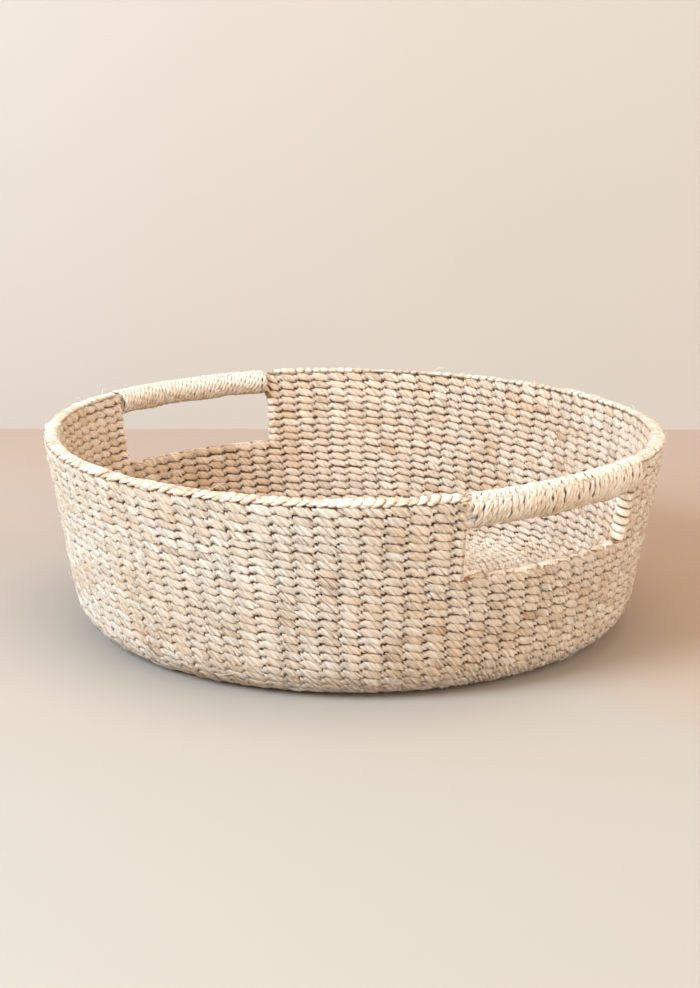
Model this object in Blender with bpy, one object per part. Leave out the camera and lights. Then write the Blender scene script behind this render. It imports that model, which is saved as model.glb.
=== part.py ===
"""Round tray basket of twined fibre cord, with an open grip in the wall at each end.

Long stakes cross at the centre of the base, and folded stakes are added between them further out. All of them
run out under the base, turn up round the corner and stand in the wall. Twined weft holds them from both faces.
Two side panels leave an opening under each grip. The rim weft runs on across each opening as the grip's core,
and a cord is wound round it. The stake ends are laid over into a plait along the top of each panel.

Metres, +Z up. The origin is the centre of the base, on the floor. The grips are at +X and -X.
"""
import math

import bmesh
import bpy
from mathutils import Vector

# Overall sizes
RIM_RADIUS = 0.190  # outer face at the top of the wall
FOOT_RADIUS = 0.168  # where the outer face would meet the floor
HEIGHT = 0.120
CORNER_RADIUS = 0.024  # middle of the wall, where the base turns up
WALL_THICKNESS = 0.009
GRIP_DRAW_IN = 0.006  # how far the rim is drawn in at the middle of a grip
DRAW_IN_REACH = 0.080  # distance round the rim over which a draw-in fades

# Weave
STAKE_THICKNESS = 0.002
ROW_HEIGHT = 0.005
ROW_GROOVE = 0.001  # depth of the groove between two rows
WEFT_START_RADIUS = 0.026  # inner edge of the weft in the base
FOLD_RADIUS = 0.062  # where the added stakes are folded
FOLD_DEPTH = 0.002
CROSS_SPACING = 0.003  # between neighbouring stakes in the centre cross
CROSS_OVERHANG = 0.0035  # straight run of a stake past the last one that it crosses
GAP = 0.0003  # running gap between pieces that touch
LIP = 0.0012  # thickness of the weft turned over the cut stakes at an opening

# Counts
ARM_STAKES = 8  # long stakes in each arm of the cross
FOLDED_LEGS = 2  # legs of one added stake, which fill the gap between two long ones
OPENING_STAKES = 10  # stakes cut short under each grip
PANEL_STEPS = 12
GRIP_STEPS = 4
CORNER_STEPS = 3

# Rim and grips
PLAIT_HEIGHT = 0.005
RIM_ROWS = 3
OPENING_ROWS = 6
CORE_HALF_HEIGHT = 0.0078
CORE_HALF_DEPTH = 0.0052
CORE_BLEND = 0.0015  # length over which the rim weft draws together into the core
WRAP_THICKNESS = 0.0018
WRAP_TURNS = 20
WRAP_TURN_POINTS = 10
WRAP_GAP = 0.0008  # between one turn and the next
WRAP_CREST_SHARE = 0.6  # width of a turn's outer face, as a share of its inner face's

# Worked out from the sizes above
HALF_WALL = WALL_THICKNESS / 2
HALF_STAKE = STAKE_THICKNESS / 2
FLARE = math.atan2(RIM_RADIUS - FOOT_RADIUS, HEIGHT)
TURN = math.pi / 2 - FLARE
CORNER_RUN = CORNER_RADIUS * TURN
FLAT_RADIUS = (
    FOOT_RADIUS
    - HALF_WALL / math.cos(FLARE)
    + HALF_WALL * math.tan(FLARE)
    - CORNER_RADIUS * math.tan(TURN / 2)
)
CORNER_TOP = HALF_WALL + CORNER_RADIUS * (1 - math.cos(TURN))
TOP_RUN = CORNER_RUN + (HEIGHT - CORNER_TOP) / math.cos(FLARE)
RIM_TOP_RUN = TOP_RUN - PLAIT_HEIGHT
RIM_BOTTOM_RUN = RIM_TOP_RUN - RIM_ROWS * ROW_HEIGHT
SILL_RUN = RIM_BOTTOM_RUN - OPENING_ROWS * ROW_HEIGHT
FACETED = 1 / math.cos(math.pi / WRAP_TURN_POINTS)  # keeps the flats of a turn clear of the round core
WRAP_HALF_DEPTH = (CORE_HALF_DEPTH + 2 * GAP) * FACETED + WRAP_THICKNESS / 2
WRAP_HALF_HEIGHT = (CORE_HALF_HEIGHT + GAP) * FACETED + WRAP_THICKNESS / 2
CORE_RUN = TOP_RUN - WRAP_HALF_HEIGHT - WRAP_THICKNESS / 2

STAKES = 4 * ARM_STAKES * (1 + FOLDED_LEGS)
STAKE_STEP = 2 * math.pi / STAKES
END_STAKE = (OPENING_STAKES + 1) / 2 * STAKE_STEP
MIDDLE_RADIUS = RIM_RADIUS - HALF_WALL
EDGE = END_STAKE - HALF_WALL / MIDDLE_RADIUS
SHOULDER = EDGE + CORE_BLEND / MIDDLE_RADIUS
WIDEST_STEP = max((math.pi - 2 * END_STAKE) / PANEL_STEPS, 2 * EDGE / GRIP_STEPS)
FACET_SAG = RIM_RADIUS * (1 - math.cos(WIDEST_STEP / 2))
STAKE_ROOM = HALF_STAKE + GAP
OUTER_ROOM = STAKE_ROOM + FACET_SAG


def clear_scene():
    for item in list(bpy.data.objects):
        bpy.data.objects.remove(item)


def fibre(name, colour, roughness):
    material = bpy.data.materials.new(name)
    material.use_nodes = True
    shader = material.node_tree.nodes["Principled BSDF"]
    shader.inputs["Base Color"].default_value = (*colour, 1)
    shader.inputs["Roughness"].default_value = roughness
    shader.inputs["Metallic"].default_value = 0
    return material


def meridian(run):
    """Radius, height and slope of the wall's middle, at a run from the edge of the flat base."""
    if run <= 0:
        return FLAT_RADIUS + run, HALF_WALL, 0.0
    if run < CORNER_RUN:
        slope = run / CORNER_RADIUS
        return (
            FLAT_RADIUS + CORNER_RADIUS * math.sin(slope),
            HALF_WALL + CORNER_RADIUS * (1 - math.cos(slope)),
            slope,
        )
    rise = run - CORNER_RUN
    return (
        FLAT_RADIUS + CORNER_RADIUS * math.sin(TURN) + rise * math.sin(FLARE),
        CORNER_TOP + rise * math.cos(FLARE),
        TURN,
    )


def draw_in(angle, height):
    """How far the wall is drawn in: most at the rim, in the middle of each grip."""
    from_grip = math.remainder(angle, math.pi) * RIM_RADIUS
    return GRIP_DRAW_IN * math.exp(-((from_grip / DRAW_IN_REACH) ** 2)) * height / HEIGHT


def skin(angle, run, out=0.0):
    """A point in the wall or base: out is the distance from its middle towards the outer face."""
    radius, height, slope = meridian(run)
    radius += out * math.sin(slope)
    height -= out * math.cos(slope)
    radius -= draw_in(angle, height)
    return Vector((radius * math.cos(angle), radius * math.sin(angle), height))


def outward(angle, run):
    slope = meridian(run)[2]
    return Vector(
        (math.sin(slope) * math.cos(angle), math.sin(slope) * math.sin(angle), -math.cos(slope))
    )


def loft(name, rings, material, closed):
    """A solid through rings of points. An open one is capped at both ends."""
    form = bmesh.new()
    rows = [[form.verts.new(point) for point in ring] for ring in rings]
    pairs = list(zip(rows, rows[1:]))
    if closed:
        pairs.append((rows[-1], rows[0]))
    for here, there in pairs:
        for index, corner in enumerate(here):
            after = (index + 1) % len(here)
            form.faces.new((corner, here[after], there[after], there[index]))
    if not closed:
        form.faces.new(rows[0])
        form.faces.new(rows[-1])
    bmesh.ops.recalc_face_normals(form, faces=form.faces)
    mesh = bpy.data.meshes.new(name)
    form.to_mesh(mesh)
    form.free()
    mesh.materials.append(material)
    piece = bpy.data.objects.new(name, mesh)
    bpy.context.scene.collection.objects.link(piece)
    return piece


def spread(first, last, steps):
    return [first + (last - first) * step / steps for step in range(steps + 1)]


def panel_stations(middle):
    """Angles along a side panel, from its one end stake to its other."""
    half = math.pi / 2 - END_STAKE
    return spread(middle - half, middle + half, PANEL_STEPS)


def ring_stations():
    """(angle, whether it lies in an opening) all the way round."""
    stations = []
    for middle in (0.0, math.pi):
        stations.append((middle - SHOULDER, False))
        stations += [(angle, True) for angle in spread(middle - EDGE, middle + EDGE, GRIP_STEPS)]
        stations.append((middle + SHOULDER, False))
        stations += [(angle, False) for angle in panel_stations(middle + math.pi / 2)]
    return stations


def ridged(first, last, rows):
    """Runs and depths of a face with rounded rows: a groove between rows and a crest on each."""
    pitch = (last - first) / rows
    line = []
    for row in range(rows):
        line.append((first + row * pitch, HALF_WALL - ROW_GROOVE))
        line.append((first + (row + 0.5) * pitch, HALF_WALL))
    line.append((last, HALF_WALL - ROW_GROOVE))
    return line


def base_weft(name, side, material):
    """The weft of the base, above the stakes with side -1 and below them with side 1."""
    inner = WEFT_START_RADIUS - FLAT_RADIUS
    section = [
        (inner, HALF_WALL),
        (-GAP, HALF_WALL),
        (-GAP, STAKE_ROOM),
        (inner, STAKE_ROOM),
    ]
    rings = [[skin(angle, run, side * out) for run, out in section] for angle, _ in ring_stations()]
    return loft(name, rings, material, closed=True)


def lower_wall_weft(name, side, room, material):
    """One face of the wall below the openings. The outer face has rows round the corner too, and a lip over
    the stakes cut short at each opening."""
    top = SILL_RUN - GAP
    if side > 0:
        face = ridged(GAP, top, round(SILL_RUN / ROW_HEIGHT))
    else:
        corner = spread(GAP, CORNER_RUN, CORNER_STEPS)[:-1]
        face = [(run, HALF_WALL - ROW_GROOVE) for run in corner]
        face += ridged(CORNER_RUN, top, round((SILL_RUN - CORNER_RUN) / ROW_HEIGHT))
    back = [(run, room) for run in spread(CORNER_RUN, GAP, CORNER_STEPS)]
    lip_tip = STAKE_ROOM - GAP
    rings = []
    for angle, in_opening in ring_stations():
        if side > 0 and in_opening:
            lip = [(top, -lip_tip), (top - LIP, -lip_tip), (top - LIP, room)]
        else:
            lip = [(top, room), (top - LIP / 2, room), (top - LIP, room)]
        rings.append([skin(angle, run, side * out) for run, out in face + lip + back])
    return loft(name, rings, material, closed=True)


def panel_weft(name, middle, material):
    """A side panel. Its rows go out along the outer face, turn round the end stake and come back inside."""
    section = ridged(SILL_RUN, RIM_BOTTOM_RUN - GAP, OPENING_ROWS)
    section += [(RIM_BOTTOM_RUN - GAP, OUTER_ROOM), (SILL_RUN, OUTER_ROOM)]
    angles = panel_stations(middle)
    turn = [math.pi * step / 4 for step in (1, 2, 3)]
    stations = [(angle, 0.0, 1) for angle in angles]
    stations += [(angles[-1], beta, 1) for beta in turn]
    stations += [(angle, math.pi, 1) for angle in reversed(angles)]
    stations += [(angles[0], beta, -1) for beta in reversed(turn)]
    rings = []
    for angle, beta, way in stations:
        along = Vector((-math.sin(angle), math.cos(angle), 0)) * way
        rings.append(
            [
                skin(angle, run, depth * math.cos(beta)) + along * (depth * math.sin(beta))
                for run, depth in section
            ]
        )
    return loft(name, rings, material, closed=True)


def rim_weft(name, side, room, material):
    """One face of the rim rows, which draws in to half of the grip's core across each opening."""
    wall = ridged(RIM_BOTTOM_RUN, RIM_TOP_RUN - GAP, RIM_ROWS)
    reach = math.radians(72)
    core = [
        (CORE_RUN + CORE_HALF_HEIGHT * math.sin(t), CORE_HALF_DEPTH * math.cos(t) + GAP / 2)
        for t in spread(-reach, reach, len(wall) - 1)
    ]
    wall += [(RIM_TOP_RUN - GAP, room), (RIM_BOTTOM_RUN, room)]
    flat = CORE_HALF_HEIGHT * math.sin(reach)
    core += [(CORE_RUN + flat, GAP / 2), (CORE_RUN - flat, GAP / 2)]
    rings = [
        [skin(angle, run, side * out) for run, out in (core if in_opening else wall)]
        for angle, in_opening in ring_stations()
    ]
    return loft(name, rings, material, closed=True)


def rim_plait(name, middle, material):
    """The stake ends of one panel, plaited along its top."""
    half_height = PLAIT_HEIGHT / 2
    section = [
        (RIM_TOP_RUN + half_height * (1 + math.sin(t)), HALF_WALL * math.cos(t))
        for t in [math.pi * (2 * step + 1) / 8 for step in range(8)]
    ]
    half = math.pi / 2 - SHOULDER
    angles = [middle - half, *panel_stations(middle), middle + half]
    rings = [[skin(angle, run, out) for run, out in section] for angle in angles]
    return loft(name, rings, material, closed=False)


def bar_point(middle, share, run, out):
    """A point on a grip's bar, at a share of its length. Its core runs straight between the ring's stations."""
    place = share * GRIP_STEPS
    station = min(int(place), GRIP_STEPS - 1)
    angles = spread(middle - EDGE, middle + EDGE, GRIP_STEPS)
    before, after = (skin(angles[index], run, out) for index in (station, station + 1))
    return before.lerp(after, place - station)


def grip_wrap(name, middle, material):
    """The cord wound round a grip's core, as one unbroken band, and the least gap between its turns."""
    bar_length = 2 * EDGE * MIDDLE_RADIUS
    half_width_share = (1 / WRAP_TURNS - WRAP_GAP / bar_length) / 2
    end_share = half_width_share + GAP / bar_length
    steps = (WRAP_TURNS - 1) * WRAP_TURN_POINTS
    section = ((-1, -1), (-1, 1), (1, WRAP_CREST_SHARE), (1, -WRAP_CREST_SHARE))
    rings = []
    for step, share in enumerate(spread(end_share, 1 - end_share, steps)):
        t = 2 * math.pi * step / WRAP_TURN_POINTS
        facing = Vector((WRAP_HALF_HEIGHT * math.cos(t), WRAP_HALF_DEPTH * math.sin(t))).normalized()
        ring = []
        for depth, side in section:
            out = WRAP_HALF_DEPTH * math.cos(t) + facing.x * depth * WRAP_THICKNESS / 2
            rise = WRAP_HALF_HEIGHT * math.sin(t) + facing.y * depth * WRAP_THICKNESS / 2
            ring.append(bar_point(middle, share + side * half_width_share, CORE_RUN + rise, out))
        rings.append(ring)
    least = min(
        (rings[step + WRAP_TURN_POINTS][near] - rings[step][far]).length
        for step in range(steps - WRAP_TURN_POINTS + 1)
        for far, near in ((1, 0), (2, 3))
    )
    print(f"{name}: least gap between turns {least * 1000:.2f} mm")
    return loft(name, rings, material, closed=False)


def cord(name, path, material):
    """A square cord along a path of (point, outward) pairs."""
    points = [point for point, _ in path]
    rings = []
    for index, (point, out) in enumerate(path):
        before = points[max(index - 1, 0)]
        after = points[min(index + 1, len(points) - 1)]
        forward = (after - before).normalized()
        across = forward.cross(out).normalized() * HALF_STAKE
        up = across.cross(forward).normalized() * HALF_STAKE
        rings.append([point + across + up, point - across + up, point - across - up, point + across - up])
    return loft(name, rings, material, closed=False)


def in_opening(angle):
    return abs(math.remainder(angle, math.pi)) < EDGE


def leg(angle, inner_radius):
    """One stake from its top down the wall and in along the base."""
    top = SILL_RUN - LIP - 3 * GAP if in_opening(angle) else RIM_TOP_RUN - GAP
    runs = [top, *reversed(spread(0, CORNER_RUN, CORNER_STEPS)), inner_radius - FLAT_RADIUS]
    return [(skin(angle, run), outward(angle, run)) for run in runs]


def long_stake(name, arm_angle, index, level, material):
    """A stake that runs right across: up one side of the wall, through the centre cross and up the other."""
    shift = index - (ARM_STAKES - 1) / 2
    lean = shift * (1 + FOLDED_LEGS) * STAKE_STEP
    forward = Vector((math.cos(arm_angle), math.sin(arm_angle), 0))
    sideways = Vector((-forward.y, forward.x, 0))
    crossing = CROSS_SPACING * (ARM_STAKES - 1) / 2 + HALF_STAKE + CROSS_OVERHANG
    lift = Vector((0, 0, HALF_WALL + level * (HALF_STAKE + GAP / 2)))
    down = Vector((0, 0, -1))
    middle = lift + sideways * (shift * CROSS_SPACING)
    far = leg(arm_angle + lean, WEFT_START_RADIUS)
    near = leg(arm_angle + math.pi - lean, WEFT_START_RADIUS)
    path = far + [(middle + forward * crossing, down), (middle - forward * crossing, down)]
    return cord(name, path + near[::-1], material)


def added_stake(name, first_angle, material):
    """A stake folded in half round a row of the base, both legs running out between two long stakes."""
    last_angle = first_angle + STAKE_STEP
    fold = [
        (skin(first_angle + STAKE_STEP * share, FOLD_RADIUS - FLAT_RADIUS), Vector((0, 0, -1)))
        for share in (0.25, 0.75)
    ]
    inner = FOLD_RADIUS + FOLD_DEPTH
    path = leg(first_angle, inner) + fold + leg(last_angle, inner)[::-1]
    return cord(name, path, material)


def build_stakes(material):
    for index in range(ARM_STAKES):
        long_stake(f"long_stake_{index + 1}", 0.0, index, 1, material)
        long_stake(f"cross_stake_{index + 1}", math.pi / 2, index, -1, material)
    gap_step = (1 + FOLDED_LEGS) * STAKE_STEP
    for index in range(4 * ARM_STAKES):
        added_stake(f"added_stake_{index + 1:02d}", (index + 0.5) * gap_step + STAKE_STEP, material)


def main():
    clear_scene()
    weft = fibre("twined_weft", (0.78, 0.68, 0.53), 0.85)
    stake = fibre("stake_cord", (0.66, 0.53, 0.37), 0.9)
    plait = fibre("rim_plait", (0.82, 0.74, 0.60), 0.85)
    wrap = fibre("grip_wrap", (0.86, 0.79, 0.65), 0.7)
    base_weft("base_weft_lower", 1, weft)
    base_weft("base_weft_upper", -1, weft)
    lower_wall_weft("lower_wall_weft_outer", 1, OUTER_ROOM, weft)
    lower_wall_weft("lower_wall_weft_inner", -1, STAKE_ROOM, weft)
    panel_weft("front_panel_weft", -math.pi / 2, weft)
    panel_weft("back_panel_weft", math.pi / 2, weft)
    rim_weft("rim_weft_outer", 1, OUTER_ROOM, weft)
    rim_weft("rim_weft_inner", -1, STAKE_ROOM, weft)
    rim_plait("front_rim_plait", -math.pi / 2, plait)
    rim_plait("back_rim_plait", math.pi / 2, plait)
    grip_wrap("right_grip_wrap", 0.0, wrap)
    grip_wrap("left_grip_wrap", math.pi, wrap)
    build_stakes(stake)


main()
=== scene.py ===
"""Weaves a round tray basket strand by strand: twined base and wall, wound grips and a plaited rim.

Metres, +Z up. The origin is the centre of the base, on the floor, and the grips are at +X and -X.
A place in the weave is an angle round the basket, a run along its profile (0 where the flat base ends, less
than 0 in the base, more than 0 up the wall) and a distance out from the middle of the wall.
"""

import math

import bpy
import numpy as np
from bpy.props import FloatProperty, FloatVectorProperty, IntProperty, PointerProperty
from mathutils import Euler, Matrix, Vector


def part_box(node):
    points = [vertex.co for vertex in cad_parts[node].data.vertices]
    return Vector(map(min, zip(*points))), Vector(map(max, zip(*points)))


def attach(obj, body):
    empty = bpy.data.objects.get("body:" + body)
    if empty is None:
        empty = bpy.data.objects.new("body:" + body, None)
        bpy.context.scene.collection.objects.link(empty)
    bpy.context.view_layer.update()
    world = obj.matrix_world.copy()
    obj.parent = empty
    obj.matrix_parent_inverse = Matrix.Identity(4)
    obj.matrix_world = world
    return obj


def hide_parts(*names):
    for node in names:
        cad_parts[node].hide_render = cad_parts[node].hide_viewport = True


bl_info = {
    "name": "Twined Tray Basket",
    "version": (1, 0, 0),
    "blender": (4, 5, 0),
    "location": "View3D > Sidebar > Basket",
    "description": "Weaves a round tray basket of plant fibre with two wound grips",
    "category": "Add Mesh",
}

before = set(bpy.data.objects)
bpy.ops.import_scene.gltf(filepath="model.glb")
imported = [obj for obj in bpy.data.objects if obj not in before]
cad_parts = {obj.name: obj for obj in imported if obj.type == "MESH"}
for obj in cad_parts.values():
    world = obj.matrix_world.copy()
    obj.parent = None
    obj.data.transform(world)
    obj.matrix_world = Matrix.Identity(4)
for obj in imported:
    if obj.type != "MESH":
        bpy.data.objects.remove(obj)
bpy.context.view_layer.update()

BODY = "root"

# One part of the seed for each thing that the hand varies.
SEEDS = {"stakes": 900, "grips": 950, "plait": 960, "sills": 970, "fibres": 990}
# The first strand of each kind. No two strands share a stretch of the pattern that finishes them.
STRANDS = {
    "base": 0, "wall": 40, "panels": 60, "rim": 80,
    "plait": 640, "sills": 700, "stakes": 800, "added": 820, "grips": 880,
}
STRAND_SPACING = 256  # stitches from the start of one strand's stretch to the next

LOWER_WALL = ("lower_wall_weft_outer", "lower_wall_weft_inner")
RIM = ("rim_weft_outer", "rim_weft_inner")
GRIPS = {"right": 0.0, "left": math.pi}
PANELS = {"front": -math.pi / 2, "back": math.pi / 2}
RIM_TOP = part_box("front_rim_plait")[1][2]
FLOOR_CLEARANCE = 0.0001
STAKE_STRAY = 0.11  # of a stake from its even place, share of the stakes' spacing
STAKE_LEAN = 0.10  # of its top past its foot, likewise
STAKE_DRIFT = 0.35  # of a whole part of the wall's stakes, likewise
PLY_MEAN = 0.64  # mean height of two plies' ridges, so that they make a strand no thicker


def length(name, description, default):
    return FloatProperty(name=name, description=description, default=default, unit="LENGTH", precision=4)


def share(name, description, default):
    return FloatProperty(name=name, description=description, default=default, subtype="FACTOR")


def count(name, description, default):
    return IntProperty(name=name, description=description, default=default, min=1)


def plain_number(name, description, default):
    return FloatProperty(name=name, description=description, default=default)


def angle(name, description, degrees):
    return FloatProperty(name=name, description=description, default=math.radians(degrees), subtype="ANGLE")


def colour(name, description, default):
    return FloatVectorProperty(
        name=name, description=description, default=default, size=3, min=0, max=1, subtype="COLOR"
    )


class BasketShape(bpy.types.PropertyGroup):
    rim_radius: length("Rim radius", "Outer face at the top of the wall", 0.190)
    foot_radius: length("Foot radius", "Where the outer face would meet the floor", 0.168)
    height: length("Height", "Floor to the top of the rim", RIM_TOP)
    corner_radius: length("Corner radius", "Middle of the wall, where the base turns up", 0.024)
    wall: length("Wall thickness", "Through both layers of weft and the stake", 0.009)
    draw_in: length("Grip draw-in", "How far the rim is drawn in at the middle of a grip", 0.006)
    draw_in_reach: length("Draw-in reach", "Distance round the rim over which a draw-in fades", 0.080)
    oval: length("Oval", "How far the rim strays from round, out and in", 0.0016)
    oval_angle: angle("Oval angle", "Where the rim strays furthest out", -13.3)
    tilt: length("Tilt", "How far the rim rises above its height on its high side", 0.0015)
    tilt_angle: angle("Tilt angle", "Where the high side is", -66.8)
    saddle: length("Saddle", "How far two opposite parts of the rim rise and the parts between sink", 0.0010)
    saddle_angle: angle("Saddle angle", "Where the rim rises", 18.4)
    wobble: length("Wobble", "How far a handmade wall strays in and out", 0.0008)


class WeaveSettings(bpy.types.PropertyGroup):
    stakes: count("Stakes", "Upright stakes round the wall", 96)
    opening_stakes: count("Opening stakes", "Stakes cut short under each grip", 10)
    lower_rows: count("Lower rows", "Rows from the edge of the flat base to the sill of the grips", 16)
    opening_rows: count("Opening rows", "Rows beside each grip opening", 6)
    rim_rows: count("Rim rows", "Rows above the grip openings", 3)
    row_height: length("Row height", "From one row to the next", 0.005)
    rim_row_height: length("Rim row height", "From one row to the next above the grip openings", 0.0054)
    plait_height: length("Plait height", "Height of the plaited edge", 0.0038)
    stake_radius: length("Stake radius", "Half the thickness of a stake", 0.001)
    slant: length("Slant", "How far the ends of a stitch stray above and below it", 0.0006)
    shear: share("Shear", "How far the top of an outer stitch leans back, as a share of its height", 0.5)
    twist: plain_number("Twist", "Turns of a strand's two plies from one stake to the next", 1.5)
    ply_depth: length("Ply depth", "Depth of the furrow between a strand's two plies", 0.0005)
    roughness: length("Roughness", "How far a bundle of fibres stands out of its strand", 0.00014)
    unevenness: share("Unevenness", "How much stitches differ in size and place", 0.6)
    seed: IntProperty(name="Seed", description="Picks the hand's small differences", default=7)


class GripSettings(bpy.types.PropertyGroup):
    turns: count("Turns", "Turns of the wound cord on one grip", 46)
    right_half_height: length("Right half height", "Middle of the right grip to its cord, upwards", 0.0090)
    left_half_height: length("Left half height", "Middle of the left grip to its cord, upwards", 0.0072)
    half_depth: length("Half depth", "Middle of a grip to its cord, outwards", 0.0066)
    cord: length("Cord thickness", "Thickness of the wound cord", 0.0021)
    cord_width: length("Cord width", "Width of the wound cord", 0.0031)
    cord_lay: length("Cord lay", "Length in which the two plies of the cord turn once", 0.0085)

    def half_heights(self):
        return {"right": self.right_half_height, "left": self.left_half_height}


class FibreColours(bpy.types.PropertyGroup):
    weft_pale: colour("Weft, pale", "Lightest fibre of the weft", (0.97, 0.89, 0.79))
    weft_deep: colour("Weft, deep", "Deepest common fibre of the weft", (0.74, 0.54, 0.36))
    # Brown of the few stitches of dark fibre, also used for the painted shade in the furrows between plies.
    weft_brown_and_furrow_shade: colour("Weft, brown", "The few stitches of dark fibre", (0.44, 0.26, 0.12))
    # Painted shade: the colour painted into the valleys between strands, strongest at their crossings, where
    # shade falls.
    painted_valley_shade: colour("Painted valley shade", "Fibre in the valleys between strands", (0.34, 0.15, 0.035))
    # Painted shade: the rim and sill ends are the weft's fibre, set darker to take back the light that falls
    # on these up-facing ends.
    rim_pale_shaded: colour("Rim, pale", "Lightest fibre of the ends on rim and sills", (0.68, 0.635, 0.575))
    rim_deep_shaded: colour("Rim, deep", "Deepest fibre of those ends", (0.43, 0.31, 0.20))
    # The grip cord's own tan, partly painted shade: set darker than the weft to take back the light that
    # falls on the grips.
    wrap_pale_shaded: colour("Grip cord, pale", "Lightest fibre of the grip cord", (0.68, 0.62, 0.555))
    wrap_deep_shaded: colour("Grip cord, deep", "Deepest fibre of the grip cord", (0.52, 0.39, 0.26))
    stake: colour("Stake", "The stakes", (0.36, 0.24, 0.14))


class StageSettings(bpy.types.PropertyGroup):
    floor: colour("Floor", "The pale floor", (0.353, 0.333, 0.300))
    floor_far: colour("Floor, far", "The floor by the wall behind", (0.385, 0.306, 0.26))
    # Painted shadow: the basket's shadow on the floor to its right, painted as a browner floor colour.
    floor_painted_shadow: colour("Floor, painted shadow", "The floor to the right of the basket", (0.34, 0.223, 0.132))
    backdrop: colour("Backdrop", "The wall behind", (0.438, 0.409, 0.372))
    camera_angle: angle("Camera angle", "Round the basket, from the front", 50.773)
    camera_rise: angle("Camera rise", "Above the horizontal", 15.398)
    camera_distance: length("Camera distance", "From the middle of the basket", 1.2914)
    lens: plain_number("Lens", "Focal length in millimetres", 75.9)


def from_grip(angle):
    """Angle past the middle of the nearer grip."""
    return (angle + math.pi / 2) % math.pi - math.pi / 2


class Shell:
    """The wall and base as a surface, with the handmade wobble that everything woven into it shares."""

    def __init__(self, scene):
        shape, weave = scene.basket_shape, scene.basket_weave
        self.shape = shape
        self.half_wall = shape.wall / 2
        flare = math.atan2(shape.rim_radius - shape.foot_radius, shape.height)
        self.turn = math.pi / 2 - flare
        self.corner_run = shape.corner_radius * self.turn
        middle_foot = shape.foot_radius - self.half_wall / math.cos(flare) + self.half_wall * math.tan(flare)
        self.flat_radius = middle_foot - shape.corner_radius * math.tan(self.turn / 2)
        corner_top = self.half_wall + shape.corner_radius * (1 - math.cos(self.turn))
        self.top_run = self.corner_run + (shape.height - corner_top) / math.cos(flare)
        self.rim_top_run = self.top_run - weave.plait_height
        self.rim_bottom_run = self.rim_top_run - weave.rim_rows * weave.rim_row_height
        self.sill_run = self.rim_bottom_run - weave.opening_rows * weave.row_height
        self.stake_step = 2 * math.pi / weave.stakes
        self.end_stake = (weave.opening_stakes + 1) / 2 * self.stake_step
        self.edge = self.end_stake - self.half_wall / (shape.rim_radius - self.half_wall)

    def meridian(self, run):
        """Radius, height and slope of the wall's middle at each run."""
        run = np.asarray(run, float)
        corner = self.shape.corner_radius
        slope = np.clip(run / corner, 0, self.turn)
        base = np.minimum(run, 0)
        wall = np.maximum(run - self.corner_run, 0)
        radius = self.flat_radius + base + corner * np.sin(slope) + wall * math.cos(self.turn)
        height = self.half_wall + corner * (1 - np.cos(slope)) + wall * math.sin(self.turn)
        return radius, height, slope

    def wander(self, angle, run):
        """Handmade stray of the wall, in and out."""
        rise = np.clip(run / self.top_run, 0, 1)
        slow = np.sin(3 * angle + 0.7) + 0.6 * np.sin(5 * angle + 2.1 + 2 * rise)
        quick = 0.35 * np.sin(11 * angle + 9 * rise) + 0.25 * np.sin(17 * angle - 7 * rise + 1)
        return self.shape.wobble * rise * (slow + quick) / 2

    def point(self, angle, run, out=0.0, along=0.0):
        """World points, one for each place. Along is a distance round the basket, past the angle."""
        shape = self.shape
        radius, height, slope = self.meridian(run)
        radius = radius + out * np.sin(slope) + self.wander(angle, run)
        height = height - out * np.cos(slope)
        rise = height / shape.height
        past_grip = from_grip(angle) * shape.rim_radius
        drawn = shape.draw_in * np.exp(-((past_grip / shape.draw_in_reach) ** 2))
        radius = radius + rise * (shape.oval * np.cos(2 * (angle - shape.oval_angle)) - drawn)
        tilt = shape.tilt * np.cos(angle - shape.tilt_angle)
        height = height + rise * (tilt + shape.saddle * np.cos(2 * (angle - shape.saddle_angle)))
        cos, sin = np.cos(angle), np.sin(angle)
        return np.stack([radius * cos - along * sin, radius * sin + along * cos, height], axis=-1)


def strand_place(kind, number):
    """Where a strand starts on the pattern that finishes it."""
    return STRAND_SPACING * (STRANDS[kind] + number)


def quad_corners(rings, sides, closed):
    """(ring, side) of each corner of each quad of a tube, not wrapped at the seam."""
    ring = np.arange(rings if closed else rings - 1)[:, None]
    side = np.arange(sides)[None, :]
    pairs = [(ring, side), (ring, side + 1), (ring + 1, side + 1), (ring + 1, side)]
    corners = [np.stack(np.broadcast_arrays(*pair), axis=-1) for pair in pairs]
    return np.stack(corners, axis=2).reshape(-1, 4, 2)


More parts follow.
